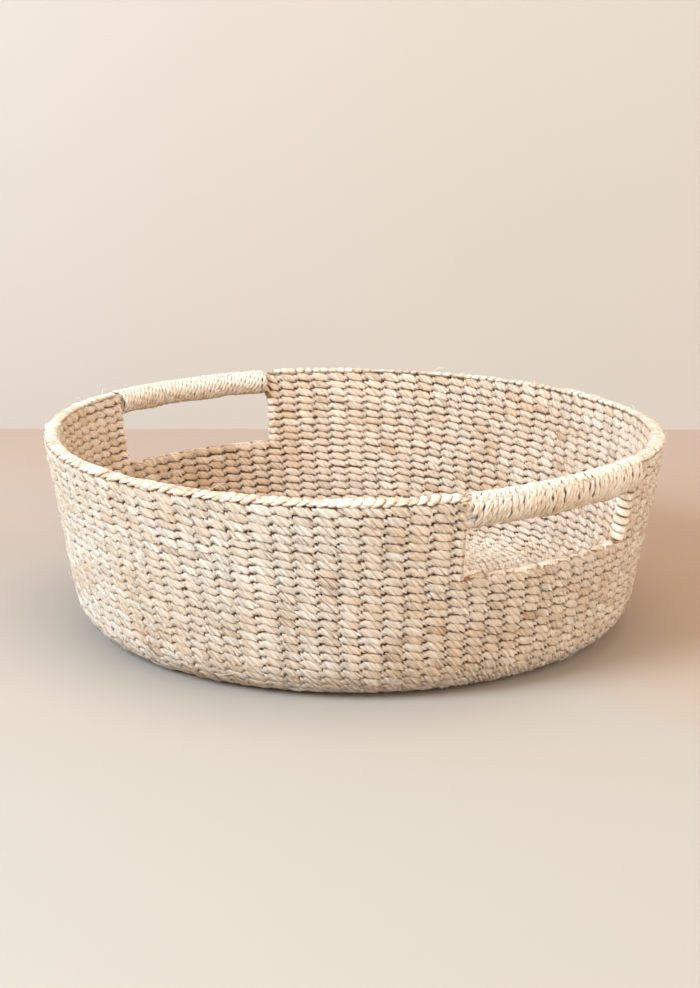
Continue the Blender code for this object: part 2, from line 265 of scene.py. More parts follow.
class Tubes:
    """Tubes gathered into one mesh, with a map for baking and one along each strand."""

    STRIP_LENGTH = 0.17  # of a strand, on one strip of the baking map
    STRIP_MARGIN = 0.06  # share of a strip left bare at each side

    def __init__(self):
        self.points, self.quads, self.caps, self.strips, self.strand_map = [], [], [], [], []
        self.total = 0

    def add(self, rings, places, closed):
        """Rings are points by ring and side. Places are the rings' own along the strand, in stitches."""
        ring_count, sides = rings.shape[:2]
        self.points.append(rings.reshape(-1, 3))
        corners = quad_corners(ring_count, sides, closed)
        self.quads.append(self.total + corners[..., 0] % ring_count * sides + corners[..., 1] % sides)
        steps = np.diff(places, append=2 * places[-1] - places[-2])
        places = np.append(places, places[-1] + steps[-1])
        along = places[corners[..., 0]]
        self.strand_map.append(np.stack([along, corners[..., 1] / sides], axis=-1))
        middles = rings.mean(axis=1)
        lengths = np.linalg.norm(np.diff(middles, axis=0, append=middles[:1]), axis=1)
        reach = np.concatenate([[0], np.cumsum(lengths)])
        strip = (reach[corners[:, 0, 0]] / self.STRIP_LENGTH).astype(int)
        across = corners[..., 1] / sides * (1 - 2 * self.STRIP_MARGIN) + self.STRIP_MARGIN
        self.strips.append((strip, reach[corners[..., 0]] / self.STRIP_LENGTH - strip[:, None], across))
        if not closed:
            last = self.total + (ring_count - 1) * sides
            self.caps.append(np.arange(self.total, self.total + sides)[::-1])
            self.caps.append(np.arange(last, last + sides))
        self.total += ring_count * sides

    def bake_map(self):
        """Each strand cut into strips, laid one above another over the whole square."""
        before, rows = 0, []
        for strip, along, across in self.strips:
            rows.append((strip + before, along, across))
            before += int(strip.max()) + 1
        longest = max(along.max() for _, along, _ in rows)
        places = [(along / longest, (strip[:, None] + across) / before) for strip, along, across in rows]
        return np.concatenate([np.stack(place, axis=-1) for place in places])

    def build(self, name, material, slot, nodes):
        """Makes the piece, which stands for the frame's nodes."""
        quads = np.concatenate(self.quads)
        maps = {"OFBake": self.bake_map(), "strand": np.concatenate(self.strand_map)}
        cap_corners = np.concatenate(self.caps) if self.caps else np.empty(0, int)
        sizes = np.concatenate([np.full(len(quads), 4), [len(cap) for cap in self.caps]]).astype(np.int32)
        corners = np.concatenate([quads.ravel(), cap_corners]).astype(np.int32)
        mesh = bpy.data.meshes.new(name)
        mesh.vertices.add(self.total)
        mesh.vertices.foreach_set("co", np.concatenate(self.points).astype(np.float32).ravel())
        mesh.loops.add(len(corners))
        mesh.loops.foreach_set("vertex_index", corners)
        mesh.polygons.add(len(sizes))
        mesh.polygons.foreach_set("loop_start", np.concatenate([[0], np.cumsum(sizes)[:-1]]).astype(np.int32))
        for map_name, places in maps.items():
            layer = mesh.uv_layers.new(name=map_name)
            flat = np.zeros((len(corners), 2), np.float32)
            flat[: len(quads) * 4] = places.reshape(-1, 2)
            layer.uv.foreach_set("vector", flat.ravel())
        mesh.update(calc_edges=True)
        mesh.validate()
        mesh.shade_smooth()
        mesh.materials.append(material)
        piece = bpy.data.objects.new(name, mesh)
        bpy.context.scene.collection.objects.link(piece)
        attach(piece, BODY)
        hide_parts(*nodes)
        return piece


def eased(value, power):
    """A value from -1 to 1, bent by a power but with its sign kept."""
    return np.sign(value) * np.abs(value) ** power


def ramp(value, low, high):
    """A smooth rise from 0 at the low value to 1 at the high one."""
    share = np.clip((value - low) / (high - low), 0, 1)
    return share**2 * (3 - 2 * share)


def round_section(sides, squareness=1.0):
    """Unit section of a strand: (across, up) at each side. A squareness under 1 makes it plump."""
    t = 2 * math.pi * np.arange(sides) / sides - math.pi / 2
    return eased(np.cos(t), squareness), eased(np.sin(t), squareness)


def ply_ridges(sides, turns, depth):
    """How far two twisted plies stand out at each side of a strand, after so many turns."""
    around = np.arange(sides) / sides + turns[:, None]
    return depth * (np.abs(np.cos(2 * math.pi * around)) - PLY_MEAN)


def round_cord(tubes, points, radius, start, sides=6):
    """Adds a round cord through points. Start is its first place on the pattern."""
    forward = np.gradient(points, axis=0)
    forward /= np.linalg.norm(forward, axis=1, keepdims=True)
    outward = points * (1, 1, 0)
    outward /= np.maximum(np.linalg.norm(outward, axis=1, keepdims=True), 1e-6)
    side = np.cross(forward, (0, 0, 1.0))
    flat = np.cross(forward, outward)
    side = np.where(np.linalg.norm(flat, axis=1, keepdims=True) > 0.1, flat, side)
    side /= np.linalg.norm(side, axis=1, keepdims=True)
    up = np.cross(side, forward)
    across, over = round_section(sides)
    round_it = side[:, None] * across[None, :, None] + up[:, None] * over[None, :, None]
    tubes.add(points[:, None] + radius * round_it, start + 0.5 * np.arange(len(points)), closed=False)


def resting(points):
    """Points with none below the floor, which flattens what stands on it."""
    points[..., 2] = np.maximum(points[..., 2], FLOOR_CLEARANCE)
    return points


class Course:
    """One twined row: two strands that cross between stakes, each in front of every second stake."""

    STEPS = 18  # rings from one stake to the next
    SIDES = 16
    SHARED = (0.10, 0.70)  # cosines of the phase between which a strand grows from its crossing to a stitch
    DIVE = (-0.62, -0.18)  # and between which its face comes out from behind the other strand
    STITCH_HALF_HEIGHT = 0.545  # share of the row's height
    CROSSING_HALF_HEIGHT = 0.225  # of a strand where the two cross, likewise
    CROSSING_SHIFT = 0.175  # of the two strands from the row's middle there, likewise
    OUTER_RECESS = 0.05  # of a crossing behind the stitches' outer face, share of the wall's thickness
    INNER_RECESS = 0.12  # behind their inner face
    MIDDLE_GAP = 0.0008  # from the wall's middle to the back of a stitch
    OUTER_SQUARENESS = 0.44
    INNER_SQUARENESS = 0.72
    STRAY = 0.07  # of one stitch up or down, share of the row's height
    SIDE_STRAY = 0.12  # of one stitch along its row, share of a stake's spacing
    UNDULATION = 0.012  # of a whole row up and down, share of its height
    HEIGHT_STRAY = 0.06  # of a stitch's half height, share of the row's height
    DEPTH_STRAY = 0.05  # of its depth, as a share
    OUT_STRAY = 0.0004  # of its place in and out
    CLOSED_SQUARENESS = 0.3  # of a crossing strand on the side of its partner
    OPEN_SQUARENESS = 0.6  # on its other side, where a slit is left between rows
    CROSSING_BEND = 0.04  # how far the two strands close round each other, a share of the row's height
    FULL_SHEAR = 0.8  # how far out a point has its full shear, share of half the wall
    TURN_REACH = 0.5  # of a turned edge past its end stake, share of its distance from the wall's middle
    TURN_HALF_HEIGHT = 0.48  # share of the row's height
    END_NARROWING = 0.16  # of a panel's strands beside their turns
    TURN_STEPS = 7
    BUNDLES = (2, 3, 4, 5, 6)  # counts round a strand whose waves add up to its bundles of fibre

    def __init__(self, shell, weave, run, height, angles, number, ring=True):
        self.shell, self.weave = shell, weave
        self.run, self.height = run, height
        self.angles, self.ring, self.number = angles, ring, number
        self.rng = np.random.default_rng([weave.seed, number])
        self.stitches = len(angles)
        self.uneven = [self.hand() for _ in range(2)]
        self.sway = self.rng.normal(0, 1, 8)
        self.shifts = self.rng.normal(0, self.SIDE_STRAY * weave.unevenness, self.stitches)
        if not ring:
            self.shifts[[0, 1, -2, -1]] = 0

    def hand(self):
        """Small differences of one strand's stitches: height, depth, rise and reach."""
        return self.rng.normal(0, self.weave.unevenness, (4, self.stitches))

    def at(self, values, q):
        """A value for each stitch, read smoothly between them."""
        if self.ring:
            values = np.append(values, values[0])
        return np.interp(q, np.arange(len(values)), values)

    def angle(self, q):
        angles = np.append(self.angles, self.angles[0] + 2 * math.pi) if self.ring else self.angles
        even = np.interp(q, np.arange(len(angles)), angles)
        return even + self.at(self.shifts, q) * self.shell.stake_step

    def undulation(self, angle):
        waves = sum(self.sway[i] * np.sin((i + 2) * angle + 3 * self.sway[-1 - i]) for i in range(4))
        return waves * self.height * self.UNDULATION

    def reach(self, cos, recess):
        """How far out a strand's face is, for the cosine of its phase: 1 in front of a stake."""
        half_wall = self.shell.half_wall
        behind = self.MIDDLE_GAP
        crossing = half_wall - recess * self.shell.shape.wall
        dive = -behind + (crossing + behind) * ramp(cos, *self.DIVE)
        return dive + (half_wall - crossing) * np.maximum(cos, 0)

    def strand(self, ply, q):
        """Place and section of one strand at each q, a count of stakes."""
        heights, depths, rises, reaches = (self.at(values, q) for values in self.uneven[ply])
        theta = math.pi * (q + ply)
        cos, sin = np.cos(theta), np.sin(theta)
        face = ramp(np.abs(cos), *self.SHARED)
        stitch_half_height = self.height * (self.STITCH_HALF_HEIGHT + self.HEIGHT_STRAY * heights)
        crossing_half_height = self.height * self.CROSSING_HALF_HEIGHT
        half_height = crossing_half_height + (stitch_half_height - crossing_half_height) * face
        outer, inner = self.reach(cos, self.OUTER_RECESS), -self.reach(-cos, self.INNER_RECESS)
        out = (outer + inner) / 2 + self.OUT_STRAY * reaches * cos
        half_depth = (outer - inner) / 2 * (1 + self.DEPTH_STRAY * depths)
        angle = self.angle(q)
        room = self.height * self.CROSSING_SHIFT * (1 - face) + self.weave.slant * np.abs(cos)
        run = self.run + self.undulation(angle) + self.height * self.STRAY * rises - sin * room
        shear = self.weave.shear * np.ones_like(q)
        if not self.ring:
            from_end = np.clip(np.minimum(q, self.stitches - 1 - q), 0, 1)
            shear = shear * from_end
            half_height = half_height * (1 - self.END_NARROWING * (1 - from_end) * face)
        return angle, run, out, half_height, half_depth, face, -sin, shear

    def rings_of(
        self, angle, run, out, half_height, half_depth, face, lift, shear,
        along=0.0, turn_out=1.0, turn_along=0.0, ridge=0.0,
    ):
        """Rings of points round each place. Turn gives the way that the strand's outer side faces."""
        columns = (angle, run, out, half_height, half_depth, face, lift, shear, along, turn_out, turn_along)
        columns = [np.broadcast_to(np.asarray(v, float), angle.shape)[:, None] for v in columns]
        angle, run, out, half_height, half_depth, face, lift, shear, along, turn_out, turn_along = columns
        around, over = round_section(self.SIDES)
        openness = 0.5 + 0.5 * lift * np.sign(over)
        crossing = self.CLOSED_SQUARENESS + (self.OPEN_SQUARENESS - self.CLOSED_SQUARENESS) * openness
        outwardness = np.clip(np.sign(around) * turn_out, 0, 1)
        stitch = self.INNER_SQUARENESS + (self.OUTER_SQUARENESS - self.INNER_SQUARENESS) * outwardness
        across, up = round_section(self.SIDES, crossing + (stitch - crossing) * face)
        bend = -lift * self.height * self.CROSSING_BEND
        side = (half_depth + ridge) * across
        up = (half_height + ridge) * up
        outer = np.clip((out + side * turn_out) / (self.FULL_SHEAR * self.shell.half_wall), -1, 1)
        along = along + side * turn_along - shear * outer * up
        points = self.shell.point(angle, run + up + bend * across**2, out + side * turn_out, along)
        return resting(points)

    def ridges(self, q):
        """How far each point of the rings stands out: two plies and the bundles of fibre in them."""
        around = 2 * math.pi * (np.arange(self.SIDES) / self.SIDES + q[:, None] * self.weave.twist)
        total = ply_ridges(self.SIDES, q * self.weave.twist, self.weave.ply_depth)
        for bundle in self.BUNDLES:
            for wave in (np.cos, np.sin):
                sizes = self.rng.normal(0, self.weave.roughness, 4 * self.stitches + 1)
                sizes[-1] = sizes[0]
                total += np.interp(2 * q, np.arange(len(sizes)), sizes)[:, None] * wave(bundle * around)
        return total

    def weave_into(self, tubes):
        if self.ring:
            self.weave_ring(tubes)
        else:
            self.weave_panel(tubes)

    def places(self, q, ply):
        """Place along the strand for its finish: whole numbers are stitches, and no two strands share any."""
        return q + STRAND_SPACING * (2 * self.number + ply)

    def weave_ring(self, tubes):
        q = np.arange(self.stitches * self.STEPS) / self.STEPS
        for ply in range(2):
            rings = self.rings_of(*self.strand(ply, q), ridge=self.ridges(q))
            tubes.add(rings, self.places(q, ply), closed=True)

    def turned_edge(self, ply, q_end, way):
        """The strand's turn round an end stake: from the ply given, at q_end, to the other ply."""
        values = [v[0] for v in self.strand(ply, np.array([float(q_end)]))]
        angle, run, out, half_height, half_depth, face, lift, _ = values
        beta = math.pi * np.arange(1, self.TURN_STEPS) / self.TURN_STEPS
        facing = 1.0 if way > 0 else -1.0
        turns = q_end * self.weave.twist + beta / (2 * math.pi)
        return self.rings_of(
            np.full(beta.shape, angle), run, out * np.cos(beta),
            half_height + (self.TURN_HALF_HEIGHT * self.height - half_height) * np.sin(beta),
            half_depth, face, lift, 0.0,
            along=way * abs(out) * self.TURN_REACH * np.sin(beta),
            turn_out=facing * np.cos(beta),
            turn_along=facing * way * math.copysign(1.0, out) * np.sin(beta),
            ridge=ply_ridges(self.SIDES, turns, self.weave.ply_depth),
        )

    def weave_panel(self, tubes):
        last = self.stitches - 1
        q = np.arange(last * self.STEPS + 1) / self.STEPS
        back_places = 2 * last + 1 - q[::-1]
        there = self.rings_of(*self.strand(0, q), ridge=self.ridges(q))
        back = self.rings_of(*self.strand(1, q[::-1]), turn_out=-1.0, ridge=self.ridges(back_places))
        rings = np.concatenate([there, self.turned_edge(0, last, 1), back, self.turned_edge(1, 0, -1)])
        turn = np.arange(1, self.TURN_STEPS) / self.TURN_STEPS / 2
        places = np.concatenate([q, last + turn, back_places, 2 * last + 1 + turn])
        tubes.add(rings, self.places(places, 0), closed=True)


class RimCourse(Course):
    """A row of the rim. Across each grip its strands run straight, side by side, as the grip's core."""

    CORE_DEPTH = 0.27  # half a core strand's depth, share of the wall's thickness
    LEFT_CORE = 0.8  # height of the left grip's core, share of the right one's

    def __init__(self, *args, core_runs, core_place, **kwargs):
        super().__init__(*args, **kwargs)
        self.core_runs, self.core_place = core_runs, core_place

    def strand(self, ply, q):
        angle, run, out, half_height, half_depth, face, lift, shear = super().strand(ply, q)
        core = ramp(-np.abs(from_grip(angle)), -self.shell.end_stake, -self.shell.edge)
        bar_depth = self.shell.shape.wall * self.CORE_DEPTH
        bar_out = (1 - 2 * ply) * bar_depth
        core_run = np.where(np.cos(angle) > 0, self.core_runs["right"], self.core_runs["left"])
        bar_height = self.height * np.where(np.cos(angle) > 0, 1.0, self.LEFT_CORE)
        bar_run = core_run + self.core_place * bar_height
        return (
            angle,
            run + (bar_run - run) * core,
            out + (bar_out - out) * core,
            half_height + (bar_height * 0.5 - half_height) * core,
            half_depth + (bar_depth - half_depth) * core,
            face,
            lift * (1 - core),
            shear * (1 - core),
        )


def stake_angles(shell, weave, run):
    """Angles of all the stakes at a run: evenly spread, but for the hand's drift up the wall."""
    rng = np.random.default_rng([weave.seed, SEEDS["stakes"]])
    base = rng.normal(0, STAKE_STRAY, weave.stakes)
    lean = rng.normal(0, STAKE_LEAN, weave.stakes)
    rise = max(run, 0) / shell.top_run
    stakes = np.arange(weave.stakes)
    slow = STAKE_DRIFT * np.sin(stakes * shell.stake_step * 4 + 2.5 * rise)
    offset = (base + lean * (rise - 0.5) + slow * rise * 0.5) * weave.unevenness * 1.3
    angles = (stakes + 0.5 + offset) * shell.stake_step
    even = (stakes + 0.5) * shell.stake_step
    near_edge = np.abs(np.abs(from_grip(angles)) - shell.end_stake) < shell.stake_step * 0.75
    return np.where(near_edge, even, angles)


def panel_angles(shell, weave, middle, run):
    """Angles of the stakes from one end stake of a side panel to the other."""
    angles = stake_angles(shell, weave, run)
    half = math.pi / 2 - shell.end_stake + shell.stake_step / 4
    turned = (angles - middle + math.pi) % (2 * math.pi) - math.pi
    return middle + np.sort(turned[np.abs(turned) < half])


def grouped(angles, group):
    """One angle for each group of neighbouring stakes that a stitch passes over."""
    return angles.reshape(-1, group).mean(axis=1)


def add_shader(material):
    """The material's only shader, wired to its output."""
    nodes = material.node_tree.nodes
    nodes.clear()
    output = nodes.new("ShaderNodeOutputMaterial")
    shader = nodes.new("ShaderNodeBsdfPrincipled")
    material.node_tree.links.new(shader.outputs["BSDF"], output.inputs["Surface"])
    return shader


def new_group(name, inputs, outputs):
    """An empty shader group. Each socket is a name and its default, a colour or a number."""
    group = bpy.data.node_groups.new(name, "ShaderNodeTree")
    for in_out, sockets in (("INPUT", inputs), ("OUTPUT", outputs)):
        for socket_name, default in sockets.items():
            kind = "NodeSocketColor" if np.ndim(default) else "NodeSocketFloat"
            socket = group.interface.new_socket(socket_name, in_out=in_out, socket_type=kind)
            socket.default_value = default
    return group, group.nodes.new("NodeGroupInput"), group.nodes.new("NodeGroupOutput")


def feed(tree, sockets, values):
    """Gives each socket its value: a link from another node, or a constant."""
    for socket, value in zip(sockets, values):
        if hasattr(value, "node"):
            tree.links.new(value, socket)
        else:
            socket.default_value = value


def math_node(tree, operation, *values):
    node = tree.nodes.new("ShaderNodeMath")
    node.operation = operation
    feed(tree, node.inputs, values)
    return node.outputs[0]


def multiplied(tree, first, second):
    return math_node(tree, "MULTIPLY", first, second)


def size_of(tree, value):
    return math_node(tree, "ABSOLUTE", value)


def vector_node(tree, operation, *values):
    node = tree.nodes.new("ShaderNodeVectorMath")
    node.operation = operation
    feed(tree, node.inputs, values)
    return node.outputs["Value" if operation == "DOT_PRODUCT" else "Vector"]


def vector_of(tree, *values):
    node = tree.nodes.new("ShaderNodeCombineXYZ")
    feed(tree, node.inputs, values)
    return node.outputs[0]


def split(tree, kind, value):
    """The three parts of a vector or a colour."""
    node = tree.nodes.new(kind)
    tree.links.new(value, node.inputs[0])
    return node.outputs


def blended(tree, factor, first, second, blend="MIX"):
    node = tree.nodes.new("ShaderNodeMix")
    node.data_type, node.blend_type = "RGBA", blend
    feed(tree, (node.inputs[0], node.inputs[6], node.inputs[7]), (factor, first, second))
    return node.outputs[2]


def noise(tree, vector, scale, detail=2.0, roughness=0.5):
    node = tree.nodes.new("ShaderNodeTexNoise")
    for name, value in (("Vector", vector), ("Scale", scale), ("Detail", detail), ("Roughness", roughness)):
        feed(tree, [node.inputs[name]], [value])
    return node.outputs["Fac"]


def ranged(tree, value, low, high, to_low=0.0, to_high=1.0):
    node = tree.nodes.new("ShaderNodeMapRange")
    feed(tree, list(node.inputs)[:5], (value, low, high, to_low, to_high))
    return node.outputs[0]


STREAK_SPACE = (0.8, 0.8, 0.5)  # reach of the streaks' noise round a strand, twice, and over one stitch
STREAK_SCALE = 4.6
PATCH_SCALE = 16.0  # of lighter and darker places on the basket
STRETCH_SCALE = 0.23  # of paler and deeper stretches along a strand
BASKET_MIDDLE = (0, 0, 0.06)
# Painted warm shade, multiplied into the colour of what faces the middle of the basket.
INSIDE_SHADE_TINT = (1.0, 0.86, 0.74, 1)
# FACE_EDGE and INSIDE_FACE_SHIFT place the painted valley shade: off a stitch's face, and further onto it on
# the inside.
FACE_EDGE = (0.28, 0.42)  # quarter turns from a stitch's face between which its valley darkens
INSIDE_FACE_SHIFT = 0.03


def fibre_group():
    """Colour, height and roughness of plant fibre: stitch by stitch, patchy, and streaked along it, with
    painted light and shade: paler tops, deeper undersides, a warm shade inside, and shade in furrows and
    valleys.
    """
    inputs = {
        "Pale": (1, 1, 1, 1),
        "Deep": (0.5, 0.4, 0.3, 1),
        "Brown": (0.3, 0.2, 0.1, 1),
        "Stitch contrast": 0.5,
        "Streak contrast": 0.5,
        "Twist": 0.6,
        "Brown share": 0.08,
        "Painted furrow shade": 0.0,
        "Painted valley shade": (0.2, 0.1, 0.05, 1),
        "Painted valley shade depth": 0.8,
        "Inside painted shade": 0.0,
        "Painted top light": 0.2,
    }
    outputs = {"Colour": (1, 1, 1, 1), "Height": 0.0, "Roughness": 0.0}
    group, given, result = new_group("plant_fibre", inputs, outputs)
    given = given.outputs
    strand = group.nodes.new("ShaderNodeUVMap")
    strand.uv_map = "strand"
    along, around, _ = split(group, "ShaderNodeSeparateXYZ", strand.outputs[0])
    place = group.nodes.new("ShaderNodeTexCoord").outputs["Object"]
    normal = group.nodes.new("ShaderNodeNewGeometry").outputs["Normal"]

    # One random value and colour for each stitch, and streaks that turn round the strand with its plies.
    stitch = group.nodes.new("ShaderNodeTexWhiteNoise")
    stitch.noise_dimensions = "1D"
    group.links.new(math_node(group, "FLOOR", math_node(group, "ADD", along, 0.5)), stitch.inputs["W"])
    turned = math_node(group, "ADD", around, multiplied(group, along, given["Twist"]))
    circle = multiplied(group, turned, 2 * math.pi)
    ply = math_node(group, "COSINE", circle)
    sine = math_node(group, "SINE", circle)
    streak_place = [multiplied(group, part, size) for part, size in zip((ply, sine, along), STREAK_SPACE)]
    streak = noise(group, vector_of(group, *streak_place), STREAK_SCALE, detail=3.0, roughness=0.65)
    patch = noise(group, place, PATCH_SCALE)
    stretch = noise(group, vector_of(group, 0, 0, along), STRETCH_SCALE, detail=1.0)

    # How deep the colour is. Painted light: what faces up is painted paler and what faces down deeper, as if
    # lit from above, and what faces the middle of the basket gets a painted warm shade.
    outwards = vector_node(group, "NORMALIZE", vector_node(group, "SUBTRACT", place, BASKET_MIDDLE))
    outwards = vector_node(group, "DOT_PRODUCT", outwards, normal)
    is_inside = ranged(group, outwards, -0.3, 0.3, 1.0, 0.0)
    facing_up = split(group, "ShaderNodeSeparateXYZ", normal)[2]
    parts = [
        multiplied(group, stitch.outputs["Value"], given["Stitch contrast"]),
        multiplied(group, ranged(group, streak, 0.42, 0.64), given["Streak contrast"]),
        ranged(group, patch, 0.35, 0.65, -0.25, 0.15),
        ranged(group, stretch, 0.35, 0.65, -0.2, 0.2),
        multiplied(group, ranged(group, facing_up, -0.7, 0.9, 1.0, -1.0), given["Painted top light"]),
    ]
    tone = parts[0]
    for part in parts[1:]:
        tone = math_node(group, "ADD", tone, part)
    colour_out = blended(group, ranged(group, tone, 0.0, 1.0), given["Pale"], given["Deep"])
    # Painted warm shade on the inside of the basket.
    inside_shade = multiplied(group, is_inside, given["Inside painted shade"])
    colour_out = blended(group, inside_shade, colour_out, INSIDE_SHADE_TINT, "MULTIPLY")

    # A few brown stitches of dark fibre, then painted shade in brown in the furrows between the plies, then
    # painted shade in the valleys between stitches.
    odd = split(group, "ShaderNodeSeparateColor", stitch.outputs["Color"])[1]
    is_brown = math_node(group, "LESS_THAN", odd, given["Brown share"])
    brown = multiplied(group, is_brown, ranged(group, streak, 0.4, 0.62, 0.0, 0.75))
    colour_out = blended(group, brown, colour_out, given["Brown"])
    # Painted shade in the furrows between a strand's two plies.
    painted_furrow_shade = multiplied(group, ranged(group, size_of(group, ply), 0.0, 0.4, 1.0, 0.0), given["Painted furrow shade"])
    colour_out = blended(group, painted_furrow_shade, colour_out, given["Brown"])
    # Painted shade in the valleys between stitches: off a stitch's face, further onto it inside, and
    # strongest near the crossings.
    half_turn = math_node(group, "FRACT", multiplied(group, around, 2.0))
    off_face = size_of(group, math_node(group, "SUBTRACT", half_turn, 0.5))
    off_face = math_node(group, "ADD", off_face, multiplied(group, is_inside, INSIDE_FACE_SHIFT))
    mid_stitch = size_of(group, math_node(group, "COSINE", multiplied(group, along, math.pi)))
    painted_valley_shade = multiplied(group, ranged(group, off_face, *FACE_EDGE), given["Painted valley shade depth"])
    painted_valley_shade = multiplied(group, painted_valley_shade, ranged(group, mid_stitch, 0.5, 0.95, 1.0, 0.5))
    colour_out = blended(group, painted_valley_shade, colour_out, given["Painted valley shade"])

    roughness = ranged(group, streak, 0.2, 0.8, 0.78, 0.95)
    feed(group, result.inputs, (colour_out, streak, roughness))
    return group


RIM_AMOUNTS = {
    "Stitch contrast": 0.4, "Streak contrast": 0.8, "Brown share": 0.0, "Painted valley shade depth": 0.3,
    "Painted top light": 0.0, "Painted furrow shade": 0.3,
}
# Each fibre finish: its pale and deep colours, the depth of its furrows in metres, and its amounts.
FINISHES = {
    "twined_fibre": ("weft_pale", "weft_deep", 0.0022, {
        "Stitch contrast": 0.3, "Streak contrast": 0.8, "Brown share": 0.04, "Painted valley shade depth": 0.9,
        "Inside painted shade": 0.35, "Painted top light": 0.05, "Painted furrow shade": 0.3,
    }),
    # The rim and sill colours are painted darker than the weft's, against the light on these up-facing ends.
    "rim_fibre": ("rim_pale_shaded", "rim_deep_shaded", 0.0022, RIM_AMOUNTS),
    "sill_fibre": ("rim_pale_shaded", "rim_deep_shaded", 0.0022, {**RIM_AMOUNTS, "Painted valley shade depth": 0.0}),
    # The grip cord's colours are partly painted shade, set darker against the light on the grips.
    "grip_cord": ("wrap_pale_shaded", "wrap_deep_shaded", 0.0009, {
        "Stitch contrast": 0.2, "Streak contrast": 0.8, "Twist": 0.6, "Brown share": 0.02,
        "Painted valley shade depth": 0.2, "Painted top light": 0.4,
    }),
    "stake_cord": ("stake", "stake", 0.0005, {
        "Stitch contrast": 0.2, "Streak contrast": 0.4, "Twist": 0.5, "Brown share": 0.0,
        "Painted valley shade depth": 0.3, "Painted top light": 0.0,
    }),
}


def fibre_finish(scene, name):
    """The finish of that name, made the first time that it is asked for."""
    if name in bpy.data.materials:
        return bpy.data.materials[name]
    colours = scene.basket_colours
    pale, deep, furrow_depth, amounts = FINISHES[name]
    material = bpy.data.materials.new(name)
    material.use_nodes = True
    shader = add_shader(material)
    tree = material.node_tree
    fibre = tree.nodes.new("ShaderNodeGroup")
    fibre.node_tree = bpy.data.node_groups.get("plant_fibre") or fibre_group()
    for socket, key in (("Pale", pale), ("Deep", deep), ("Brown", "weft_brown_and_furrow_shade"), ("Painted valley shade", "painted_valley_shade")):
        fibre.inputs[socket].default_value = (*getattr(colours, key), 1)
    fibre.inputs["Twist"].default_value = scene.basket_weave.twist
    for socket, amount in amounts.items():
        fibre.inputs[socket].default_value = amount
    furrows = tree.nodes.new("ShaderNodeBump")
    furrows.inputs["Distance"].default_value = furrow_depth
    furrows.inputs["Strength"].default_value = 0.9
    tree.links.new(fibre.outputs["Height"], furrows.inputs["Height"])
    tree.links.new(furrows.outputs["Normal"], shader.inputs["Normal"])
    tree.links.new(fibre.outputs["Colour"], shader.inputs["Base Color"])
    tree.links.new(fibre.outputs["Roughness"], shader.inputs["Roughness"])
    shader.inputs["Specular IOR Level"].default_value = 0.3
    return material


def plain_fibre_material(name, base):
    """One even colour, for fibres too thin to show any pattern."""
    material = bpy.data.materials.new(name)
    material.use_nodes = True
    shader = add_shader(material)
    shader.inputs["Base Color"].default_value = (*base, 1)
    shader.inputs["Roughness"].default_value = 0.8
    return material


def weaving(context, finish="twined_fibre"):
    """What a piece is woven with: the basket's surface, the weave's sizes and the fibre's finish."""
    return Shell(context.scene), context.scene.basket_weave, fibre_finish(context.scene, finish)


class BASKET_OT_lower_wall(bpy.types.Operator):
    """Twine the rows from the base's edge up to the sill of the grips"""

    bl_idname = "basket.lower_wall"
    bl_label = "Weave lower wall"

    def execute(self, context):
        shell, weave, finish = weaving(context)
        height = shell.sill_run / weave.lower_rows
        for row in range(weave.lower_rows):
            run = (row + 0.5) * height
            tubes = Tubes()
            angles = stake_angles(shell, weave, run)
            Course(shell, weave, run, height, angles, STRANDS["wall"] + row).weave_into(tubes)
            tubes.build(f"lower_wall_row_{row + 1:02d}", finish, "weft", LOWER_WALL)
        return {"FINISHED"}


class BASKET_OT_panels(bpy.types.Operator):
    """Twine both side panels, whose rows turn back round their end stakes beside the grips"""

    bl_idname = "basket.panels"
    bl_label = "Weave side panels"

    def execute(self, context):
        shell, weave, finish = weaving(context)
        for panel, (side, middle) in enumerate(PANELS.items()):
            tubes = Tubes()
            for row in range(weave.opening_rows):
                run = shell.sill_run + (row + 0.5) * weave.row_height
                angles = panel_angles(shell, weave, middle, run)
                number = STRANDS["panels"] + 10 * panel + row
                Course(shell, weave, run, weave.row_height, angles, number, ring=False).weave_into(tubes)
            tubes.build(f"{side}_panel_rows", finish, "weft", (f"{side}_panel_weft",))
        return {"FINISHED"}


